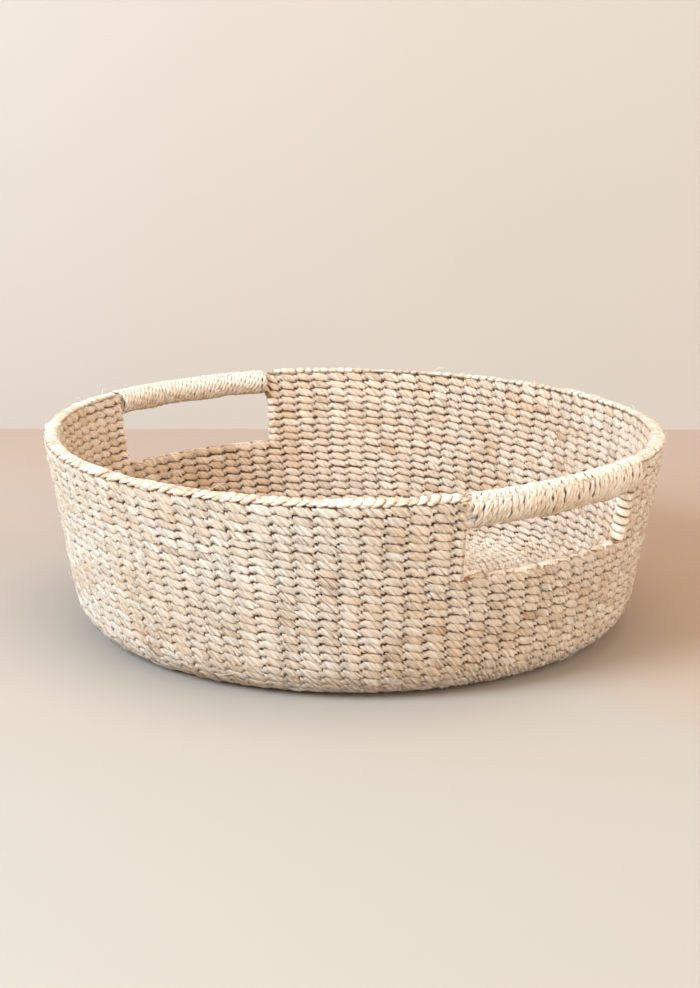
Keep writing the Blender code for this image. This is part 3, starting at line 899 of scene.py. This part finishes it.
class BASKET_OT_sills(bpy.types.Operator):
    """Turn the ends of the short stakes' weft down over the top row under each grip"""

    bl_idname = "basket.sills"
    bl_label = "Finish sills"

    SIDES = 12
    STEPS = 15
    DEPTH = 0.0024  # from the wall's middle to the middle of a turned end
    DROP = 0.0034
    HALF_WIDTH = 0.0056
    HALF_THICKNESS = 0.0010
    PLY_TURNS = 1.0
    PAST_LEVEL = 0.25  # how far a turned end goes on past level at both sides, in radians
    SQUARENESS = 0.8
    SIZE_JITTER = 0.15
    PLACE_JITTER = 0.0003
    SIDE_JITTER = 0.08  # share of the stakes' spacing
    TWIST_JITTER = 0.0008

    def execute(self, context):
        shell, weave, finish = weaving(context, "sill_fibre")
        rng = np.random.default_rng([weave.seed, SEEDS["sills"]])
        beta = np.linspace(-self.PAST_LEVEL, math.pi + self.PAST_LEVEL, self.STEPS)[:, None]
        turned = np.linspace(0, self.PLY_TURNS, self.STEPS)
        across, up = round_section(self.SIDES, self.SQUARENESS)
        for number, (side, middle) in enumerate(GRIPS.items()):
            tubes = Tubes()
            for place in range(weave.opening_stakes):
                jitter = rng.normal(0, 1, 5)
                from_middle = place - (weave.opening_stakes - 1) / 2 + self.SIDE_JITTER * jitter[0]
                angle = middle + from_middle * shell.stake_step
                ridge = ply_ridges(self.SIDES, turned, weave.ply_depth)
                thick = (self.HALF_THICKNESS * (1 + self.SIZE_JITTER * jitter[1]) + ridge) * across
                drop = self.DROP + self.PLACE_JITTER * jitter[2]
                rise = drop + self.PLACE_JITTER * jitter[3] + thick
                run = shell.sill_run - drop + rise * np.sin(beta)
                out = (self.DEPTH + thick) * np.cos(beta)
                along = self.HALF_WIDTH * (1 + self.SIZE_JITTER * jitter[4]) * up
                along = along + self.TWIST_JITTER * jitter[0] * np.cos(beta)
                rings = shell.point(np.full(beta.shape, angle), run, out, along)
                start = strand_place("sills", 20 * number + place)
                tubes.add(rings, turned / weave.twist + start, closed=False)
            tubes.build(f"{side}_sill_ends", finish, "weft", LOWER_WALL)
        return {"FINISHED"}


class BASKET_OT_rim(bpy.types.Operator):
    """Twine the rows above the grips, which run on through each grip as its core"""

    bl_idname = "basket.rim"
    bl_label = "Weave rim rows"

    def execute(self, context):
        shell, weave, finish = weaving(context)
        grip = context.scene.basket_grip
        half_heights = grip.half_heights()
        core_runs = {side: shell.top_run - half - grip.cord / 2 for side, half in half_heights.items()}
        for row in range(weave.rim_rows):
            run = shell.rim_bottom_run + (row + 0.5) * weave.rim_row_height
            tubes = Tubes()
            angles = stake_angles(shell, weave, run)
            course = RimCourse(
                shell, weave, run, weave.rim_row_height, angles, STRANDS["rim"] + row,
                core_runs=core_runs, core_place=row - (weave.rim_rows - 1) / 2,
            )
            course.weave_into(tubes)
            tubes.build(f"rim_row_{row + 1}", finish, "weft", RIM)
        return {"FINISHED"}


class BASKET_OT_plait(bpy.types.Operator):
    """Lay the stake ends over the top of each panel, close together and leaning against the rows"""

    bl_idname = "basket.plait"
    bl_label = "Plait rim"

    PITCH = 0.0058  # from one end to the next
    HALF_WIDTH = 0.0031
    HALF_THICKNESS = 0.0016
    DEPTH_LEFT = 0.0002  # of the wall's half thickness, outside the ends
    LEAN = 0.0008
    PLY_TURNS = 2.5  # in one turn over the rim
    STEPS = 28
    SIDES = 12
    SQUARENESS = 0.95
    PLACE_JITTER = 0.13  # share of the pitch
    WIDTH_JITTER = 0.15
    THICKNESS_JITTER = 0.2
    RISE_JITTER = 0.0004
    MIDDLE_RISE = 0.4  # of the plait's middle above its lower edge, share of its height

    def execute(self, context):
        shell, weave, finish = weaving(context, "rim_fibre")
        radius = shell.shape.rim_radius - shell.half_wall
        half = math.pi / 2 - shell.end_stake
        turns = round(2 * half * radius / self.PITCH)
        t = np.arange(turns * self.STEPS + 1) / self.STEPS
        phase = 2 * math.pi * t
        across, up = round_section(self.SIDES, self.SQUARENESS)
        rng = np.random.default_rng([weave.seed, SEEDS["plait"]])
        for number, (side, middle) in enumerate(PANELS.items()):
            jitter = [np.interp(t, np.arange(turns + 1), rng.normal(0, 1, turns + 1)) for _ in range(4)]
            shift, size, thick, rise = jitter
            place = self.PITCH * (t - turns / 2 + self.PLACE_JITTER * shift) + self.LEAN * np.sin(phase)
            ridge = ply_ridges(self.SIDES, t * self.PLY_TURNS, weave.ply_depth)
            thickness = self.HALF_THICKNESS * (1 + self.THICKNESS_JITTER * thick)[:, None]
            outward = (thickness + ridge) * across
            along = (self.HALF_WIDTH * (1 + self.WIDTH_JITTER * size)[:, None] + ridge) * up
            half_depth = shell.half_wall - self.DEPTH_LEFT - self.HALF_THICKNESS
            half_height = weave.plait_height / 2 - self.HALF_THICKNESS + self.RISE_JITTER * rise[:, None]
            out = (half_depth + outward) * eased(np.cos(phase), self.SQUARENESS)[:, None]
            run = (half_height + outward) * eased(np.sin(phase), self.SQUARENESS)[:, None]
            run = run + shell.rim_top_run + self.MIDDLE_RISE * weave.plait_height
            tubes = Tubes()
            rings = shell.point((middle + place / radius)[:, None], run, out, along)
            tubes.add(rings, t * self.PLY_TURNS / weave.twist + strand_place("plait", number), closed=False)
            tubes.build(f"{side}_plait", finish, "plait", (f"{side}_rim_plait",))
        return {"FINISHED"}


class BASKET_OT_base(bpy.types.Operator):
    """Twine the base, over groups of stakes near the centre and single stakes further out"""

    bl_idname = "basket.base"
    bl_label = "Weave base"

    INNER_RADIUS = 0.0165
    GROUPS = ((0.031, 6), (0.060, 3), (0.098, 2), (1.0, 1))  # up to a radius, stakes under one stitch
    ROWS_TO_A_PIECE = 4

    def execute(self, context):
        shell, weave, finish = weaving(context)
        rows = round((shell.flat_radius - self.INNER_RADIUS) / weave.row_height)
        height = (shell.flat_radius - self.INNER_RADIUS) / rows
        nodes = ("base_weft_upper", "base_weft_lower")
        for first in range(0, rows, self.ROWS_TO_A_PIECE):
            tubes = Tubes()
            for row in range(first, min(first + self.ROWS_TO_A_PIECE, rows)):
                radius = self.INNER_RADIUS + (row + 0.5) * height
                group = next(size for reach, size in self.GROUPS if radius < reach)
                angles = grouped(stake_angles(shell, weave, 0.0), group)
                run = radius - shell.flat_radius
                Course(shell, weave, run, height, angles, STRANDS["base"] + row).weave_into(tubes)
            tubes.build(f"base_rows_{first + 1:02d}", finish, "weft", nodes)
        return {"FINISHED"}


class BASKET_OT_stakes(bpy.types.Operator):
    """Lay the long stakes through the centre and the folded ones between them"""

    bl_idname = "basket.stakes"
    bl_label = "Lay stakes"

    ARM_STAKES = 8
    FAN_RADIUS = 0.026
    FOLD_RADIUS = 0.064
    CROSS_SPACING = 0.003
    OVERHANG = 0.0035
    STEP = 0.006

    def path(self, shell, weave, index, first_radius, grid):
        """Points of one leg, from the inner radius out along the base and up the wall."""
        angle = (index + 0.5) * shell.stake_step
        short = abs(from_grip(angle)) < shell.edge
        top = shell.sill_run - 2 * weave.stake_radius if short else shell.rim_top_run
        steps = round((top + shell.flat_radius) / self.STEP)
        runs = np.linspace(first_radius - shell.flat_radius, top, steps)
        angles = np.array([np.interp(run, grid[0], grid[1][:, index]) for run in runs])
        return shell.point(angles, runs)

    def crossing(self, shell, weave, arm, index):
        """The middle stretch of a long stake, straight through the centre."""
        shift = index - (self.ARM_STAKES - 1) / 2
        reach = self.CROSS_SPACING * (self.ARM_STAKES - 1) / 2 + weave.stake_radius + self.OVERHANG
        level = (1 - 2 * arm) * weave.stake_radius
        along = np.linspace(-reach, reach, 9)
        place = np.full(9, shift * self.CROSS_SPACING)
        height = np.full(9, shell.half_wall + level)
        columns = (along, place, height) if arm == 0 else (-place, along, height)
        return np.stack(columns, axis=-1)

    def execute(self, context):
        shell, weave, finish = weaving(context, "stake_cord")
        radius = weave.stake_radius
        runs = np.linspace(-shell.flat_radius, shell.top_run, 24)
        grid = (runs, np.array([stake_angles(shell, weave, run) for run in runs]))
        tubes, names = Tubes(), []
        step = weave.stakes // (4 * self.ARM_STAKES)
        quarter = weave.stakes // 4
        for arm in range(2):
            for index in range(self.ARM_STAKES):
                shift = index - (self.ARM_STAKES - 1) / 2
                far = round(arm * quarter + shift * step - 0.5) % weave.stakes
                near = round(arm * quarter + 2 * quarter - shift * step - 0.5) % weave.stakes
                out_leg = self.path(shell, weave, far, self.FAN_RADIUS, grid)
                back_leg = self.path(shell, weave, near, self.FAN_RADIUS, grid)
                points = np.concatenate([back_leg[::-1], self.crossing(shell, weave, arm, index), out_leg])
                round_cord(tubes, points, radius, strand_place("stakes", arm * self.ARM_STAKES + index))
                names.append(f"{('long', 'cross')[arm]}_stake_{index + 1}")
        for index in range(4 * self.ARM_STAKES):
            first = (index * step + step - 1 + step // 2) % weave.stakes
            ends = (first, (first + 1) % weave.stakes)
            legs = [self.path(shell, weave, end, self.FOLD_RADIUS, grid) for end in ends]
            points = np.concatenate([legs[0][::-1], legs[1]])
            round_cord(tubes, points, radius, strand_place("added", index))
            names.append(f"added_stake_{index + 1:02d}")
        tubes.build("stakes", finish, "stake", names)
        return {"FINISHED"}


class BASKET_OT_grips(bpy.types.Operator):
    """Wind the fine cord of two plies round the core of each grip"""

    bl_idname = "basket.grips"
    bl_label = "Wind grips"

    SIDES = 6
    TURN_POINTS = 48
    LEAD = {"right": 0.0015, "left": 0.0}  # of the first turn, before the opening's near end
    OVERRUN = {"right": 0.007, "left": 0.003}  # past the opening's far end, over the panel's rim
    END_LEAN = {"right": 0.003, "left": 0.001}  # of the last turns, whose tops reach the further
    # Mean and spread of each turn's place and lean, as shares of the pitch, then its size, lift and sag.
    JITTERS = ((0, 0.045), (0.25, 0.3), (1, 0.08), (0, 0.16), (0, 0.03))
    LAY_JITTER = 0.7
    SLOW_SAGS = ((0.05, 17, 1), (0.03, 31, 2))  # depth, waves along the grip and share of the seed
    PLY_HALF_THICKNESS = 0.3  # share of the cord's thickness
    PLY_RISE = 0.15  # of a ply's middle in and out, likewise
    TURN_RISE = 0.3  # of a whole turn that stands out, likewise
    PLY_SIDEWAYS = 0.24  # of it to each side, share of the cord's width
    PLY_HALF_WIDTH = 0.45  # likewise
    INSET = 0.4  # of the first and last turns' middles in the opening, likewise

    def wind(self, shell, grip, side, middle, half_height, seed):
        """Rings of the two plies of the wound cord, from one end of the grip to the other."""
        rng = np.random.default_rng([seed, SEEDS["grips"]])
        turns = grip.turns
        t = np.arange(turns * self.TURN_POINTS + 1) / self.TURN_POINTS
        radius = shell.shape.rim_radius - shell.half_wall
        half = shell.edge * radius - grip.cord_width * self.INSET
        start = half + self.LEAD[side]
        reach = start + half + self.OVERRUN[side]
        knots = np.arange(turns + 1)
        shift, lean, size, proud, sag = (
            np.interp(t, knots, rng.normal(mean, spread, turns + 1))
            for mean, spread in self.JITTERS
        )
        for depth, waves, share_of_seed in self.SLOW_SAGS:
            sag = sag + depth * np.sin(t / turns * waves + share_of_seed * seed)
        phase = 2 * math.pi * t
        pitch = reach / turns
        end_lean = self.END_LEAN[side] * (t / turns) ** 3
        place = pitch * (t + shift + lean * np.sin(phase + 0.6)) + end_lean * np.sin(phase)
        angle = (middle + (place - start) / radius)[:, None]
        core_run = shell.top_run - half_height - grip.cord / 2
        below = np.where(np.sin(phase) < 0, 1 + sag, 1.0)
        across, up = round_section(self.SIDES)
        girth = math.pi * (half_height + grip.half_depth)
        rings = []
        for ply in range(2):
            lay = phase * girth / grip.cord_lay + ply * math.pi
            lay = lay + np.interp(t, knots, rng.normal(0, self.LAY_JITTER, turns + 1))
            thick = grip.cord * size * self.PLY_HALF_THICKNESS
            lift = grip.cord * (self.PLY_RISE * np.cos(lay) * size + self.TURN_RISE * np.abs(proud))
            outward = lift[:, None] + thick[:, None] * across
            sideways = self.PLY_SIDEWAYS * np.sin(lay)[:, None]
            along = grip.cord_width * (sideways + self.PLY_HALF_WIDTH * size[:, None] * up)
            out = (grip.half_depth + outward) * np.cos(phase)[:, None]
            run = (half_height * below[:, None] + outward) * np.sin(phase)[:, None]
            rings.append(shell.point(angle, core_run + run, out, along))
        return rings, t * 4

    def execute(self, context):
        shell, weave, finish = weaving(context, "grip_cord")
        grip = context.scene.basket_grip
        for number, (side, middle) in enumerate(GRIPS.items()):
            tubes = Tubes()
            half_height = grip.half_heights()[side]
            plies, places = self.wind(shell, grip, side, middle, half_height, weave.seed + number)
            for ply, rings in enumerate(plies):
                tubes.add(rings, places + strand_place("grips", 2 * number + ply), closed=False)
            tubes.build(f"{side}_grip_cord", finish, "wrap", (f"{side}_grip_wrap",))
        return {"FINISHED"}


class BASKET_OT_loose_fibres(bpy.types.Operator):
    """Let some fibres stand off the weave and the grips, and curl one end up beside a grip"""

    bl_idname = "basket.loose_fibres"
    bl_label = "Add loose fibres"

    COUNT = 620
    POINTS = 6
    RADIUS = 0.00009
    LENGTHS = (0.004, 0.013)
    LIFTS = (0.0004, 0.0030)
    CURL_RADIUS = 0.0017
    CURL_THICKNESS = 0.0007
    CURL_POINTS = 22
    CURL_COLOUR = (0.42, 0.30, 0.17)

    def execute(self, context):
        shell, weave = Shell(context.scene), context.scene.basket_weave
        rng = np.random.default_rng([weave.seed, SEEDS["fibres"]])
        radius = shell.shape.rim_radius
        fibres = Tubes()
        s = np.linspace(0, 1, self.POINTS)
        while len(fibres.points) < self.COUNT:
            angle = rng.uniform(0, 2 * math.pi)
            run = rng.uniform(0.004, shell.top_run - 0.001)
            if abs(from_grip(angle)) < shell.edge + 0.02 and run > shell.sill_run - 0.004:
                continue
            face = rng.choice([-1, 1])
            reach = rng.uniform(*self.LENGTHS)
            heading = rng.normal(0, 0.7) + rng.choice([0, math.pi])
            lift = rng.uniform(*self.LIFTS)
            curl = rng.normal(0, 0.4)
            run_path = run + reach * (s * math.sin(heading) + curl * s * s)
            out = face * (shell.half_wall - 0.0004 + lift * s * (2 - s) * rng.choice([0.3, 1.0]))
            run_path = np.minimum(run_path, shell.top_run + 0.002)
            path = resting(shell.point(angle + reach * s * math.cos(heading) / radius, run_path, out))
            round_cord(fibres, path + (0, 0, self.RADIUS), self.RADIUS, 0, sides=3)
        finish = plain_fibre_material("loose_fibre", context.scene.basket_colours.weft_pale)
        fibres.build("loose_fibres", finish, "weft", LOWER_WALL + RIM)

        turn = np.linspace(0.4, 2.6 * math.pi, self.CURL_POINTS)
        size = self.CURL_RADIUS * (1 - 0.25 * turn / turn[-1])
        angle = -shell.end_stake - 0.12 * shell.stake_step
        run = shell.top_run - 0.0048
        out = shell.half_wall + 0.0002 + 0.0006 * turn / turn[-1]
        angles = np.full(self.CURL_POINTS, angle)
        curl_path = shell.point(angles, run + size * np.sin(turn), out, size * np.cos(turn))
        curl = Tubes()
        round_cord(curl, curl_path, self.CURL_THICKNESS, 0, sides=8)
        finish = plain_fibre_material("brown_end", self.CURL_COLOUR)
        curl.build("curled_end", finish, "weft", ("front_panel_weft",))
        return {"FINISHED"}


class BASKET_OT_stage(bpy.types.Operator):
    """Set the floor, the wall behind, the lights and the camera"""

    bl_idname = "basket.stage"
    bl_label = "Set stage"

    BACKDROP_DISTANCE = 0.511  # behind the basket's middle, away from the camera
    SHEET = 3.0  # height of the wall behind, and the floor's reach to each side and towards the camera
    FAR_START = -0.3  # distances past the basket's middle at which the floor starts to change
    # Where the painted shadow starts and where it is full, on a line to the right and away from the camera.
    SIDE_START, SIDE_END = 0.0, 0.2
    AIM_HEIGHT = 0.057
    IMAGE = (700, 988)
    TARGET_PIXEL = (354.0, 522.8)  # where the point aimed at lies in the picture
    ROLL = 0.0012
    SENSOR = 36.0
    # Each lamp: how far in front, to the right and above, its size, its watts and its colour.
    LAMPS = {
        "key": ((1.1, -1.5, 1.35), 1.1, 78, (0.755, 0.885, 1.0)),
        "fill": ((1.6, 1.7, 1.1), 2.9, 60, (1.0, 0.91, 0.81)),
        "top": ((-0.3, 0.2, 2.2), 1.5, 27, (1.0, 0.88, 0.79)),
    }
    LAMP_TARGET = (0, 0, 0.05)
    ROOM_COLOUR = (1.0, 0.80, 0.62)
    ROOM_STRENGTH = 0.87

    def plain_material(self, name, base, changes=()):
        """A mottled matt colour. Each change is a colour, its direction, and where it starts and is full."""
        material = bpy.data.materials.new(name)
        material.use_nodes = True
        shader = add_shader(material)
        tree = material.node_tree
        place = tree.nodes.new("ShaderNodeTexCoord")
        mottle = noise(tree, place.outputs["Object"], 3.0, detail=4.0)
        darker = [0.8 * channel for channel in base]
        tone = blended(tree, ranged(tree, mottle, 0.3, 0.7, 0.0, 0.08), (*base, 1), (*darker, 1))
        for other, direction, start, full in changes:
            distance = vector_node(tree, "DOT_PRODUCT", place.outputs["Object"], direction)
            tone = blended(tree, ranged(tree, distance, start, full), tone, (*other, 1))
        tree.links.new(tone, shader.inputs["Base Color"])
        shader.inputs["Roughness"].default_value = 0.7
        shader.inputs["Specular IOR Level"].default_value = 0.2
        return material

    def sheet(self, name, corners, material):
        mesh = bpy.data.meshes.new(name)
        mesh.from_pydata(corners, [], [(0, 1, 2, 3)])
        mesh.materials.append(material)
        piece = bpy.data.objects.new(name, mesh)
        bpy.context.scene.collection.objects.link(piece)

    def area_light(self, name, place, size, watts, tint):
        light = bpy.data.lights.new(name, "AREA")
        light.shape, light.size, light.energy, light.color = "DISK", size, watts, tint
        lamp = bpy.data.objects.new(name, light)
        lamp.location = place
        lamp.rotation_euler = (Vector(self.LAMP_TARGET) - place).to_track_quat("-Z", "Y").to_euler()
        bpy.context.scene.collection.objects.link(lamp)

    def execute(self, context):
        stage = context.scene.basket_stage
        away = Vector((-math.sin(stage.camera_angle), math.cos(stage.camera_angle), 0))
        right = Vector((away.y, -away.x, 0))
        up = Vector((0, 0, 1))
        wall = away * self.BACKDROP_DISTANCE
        corners = [wall - right * self.SHEET, wall + right * self.SHEET]
        floor = corners + [right * self.SHEET - away * self.SHEET, -right * self.SHEET - away * self.SHEET]
        backdrop = corners + [corners[1] + up * self.SHEET, corners[0] + up * self.SHEET]
        # Painted shadow of the basket on the floor to its right, then the floor's change towards the wall
        # behind.
        to_painted_shadow = (stage.floor_painted_shadow, right * 0.8 + away * 0.6, self.SIDE_START, self.SIDE_END)
        to_far = (stage.floor_far, away, self.FAR_START, self.BACKDROP_DISTANCE)
        floor_material = self.plain_material("pale_floor", stage.floor, (to_painted_shadow, to_far))
        self.sheet("floor", floor, floor_material)
        self.sheet("backdrop", backdrop, self.plain_material("pale_wall", stage.backdrop))

        camera_data = bpy.data.cameras.new("camera")
        camera_data.lens = stage.lens
        camera_data.sensor_width = self.SENSOR
        camera = bpy.data.objects.new("camera", camera_data)
        target = Vector((0, 0, self.AIM_HEIGHT))
        rise, distance = stage.camera_rise, stage.camera_distance
        camera.location = target - away * (distance * math.cos(rise)) + up * (distance * math.sin(rise))
        aim = (target - camera.location).to_track_quat("-Z", "Y")
        focal = stage.lens / self.SENSOR * max(self.IMAGE)
        yaw = math.atan((self.TARGET_PIXEL[0] - self.IMAGE[0] / 2) / focal)
        pitch = math.atan((self.TARGET_PIXEL[1] - self.IMAGE[1] / 2) / focal)
        turned = aim @ Euler((pitch, 0, 0)).to_quaternion() @ Euler((0, yaw, 0)).to_quaternion()
        camera.rotation_euler = (turned @ Euler((0, 0, self.ROLL)).to_quaternion()).to_euler()
        context.scene.collection.objects.link(camera)
        context.scene.camera = camera

        for name, ((in_front, to_right, above), *lamp) in self.LAMPS.items():
            place = right * to_right - away * in_front + up * above
            self.area_light(name, place, *lamp)
        world = bpy.data.worlds.new("room")
        world.use_nodes = True
        background = world.node_tree.nodes["Background"]
        background.inputs["Color"].default_value = (*self.ROOM_COLOUR, 1)
        background.inputs["Strength"].default_value = self.ROOM_STRENGTH
        context.scene.world = world
        context.scene.view_settings.view_transform = "Standard"
        return {"FINISHED"}


class BASKET_PT_panel(bpy.types.Panel):
    bl_label = "Twined basket"
    bl_idname = "BASKET_PT_panel"
    bl_space_type = "VIEW_3D"
    bl_region_type = "UI"
    bl_category = "Basket"

    def draw(self, context):
        for step in STEPS:
            self.layout.operator(step.bl_idname)
        for name in SETTINGS:
            settings = getattr(context.scene, name)
            box = self.layout.box()
            for prop in settings.bl_rna.properties:
                if prop.identifier not in ("rna_type", "name"):
                    box.prop(settings, prop.identifier)


SETTINGS = {
    "basket_shape": BasketShape,
    "basket_weave": WeaveSettings,
    "basket_grip": GripSettings,
    "basket_colours": FibreColours,
    "basket_stage": StageSettings,
}
STEPS = (
    BASKET_OT_base,
    BASKET_OT_lower_wall,
    BASKET_OT_panels,
    BASKET_OT_sills,
    BASKET_OT_rim,
    BASKET_OT_plait,
    BASKET_OT_grips,
    BASKET_OT_stakes,
    BASKET_OT_loose_fibres,
    BASKET_OT_stage,
)
CLASSES = (*SETTINGS.values(), *STEPS, BASKET_PT_panel)


def register():
    for cls in CLASSES:
        bpy.utils.register_class(cls)
    for name, cls in SETTINGS.items():
        setattr(bpy.types.Scene, name, PointerProperty(type=cls))


def unregister():
    for name in SETTINGS:
        delattr(bpy.types.Scene, name)
    for cls in reversed(CLASSES):
        bpy.utils.unregister_class(cls)


def main():
    register()
    for step in STEPS:
        group, name = step.bl_idname.split(".")
        getattr(getattr(bpy.ops, group), name)()


if __name__ == "__main__":
    main()
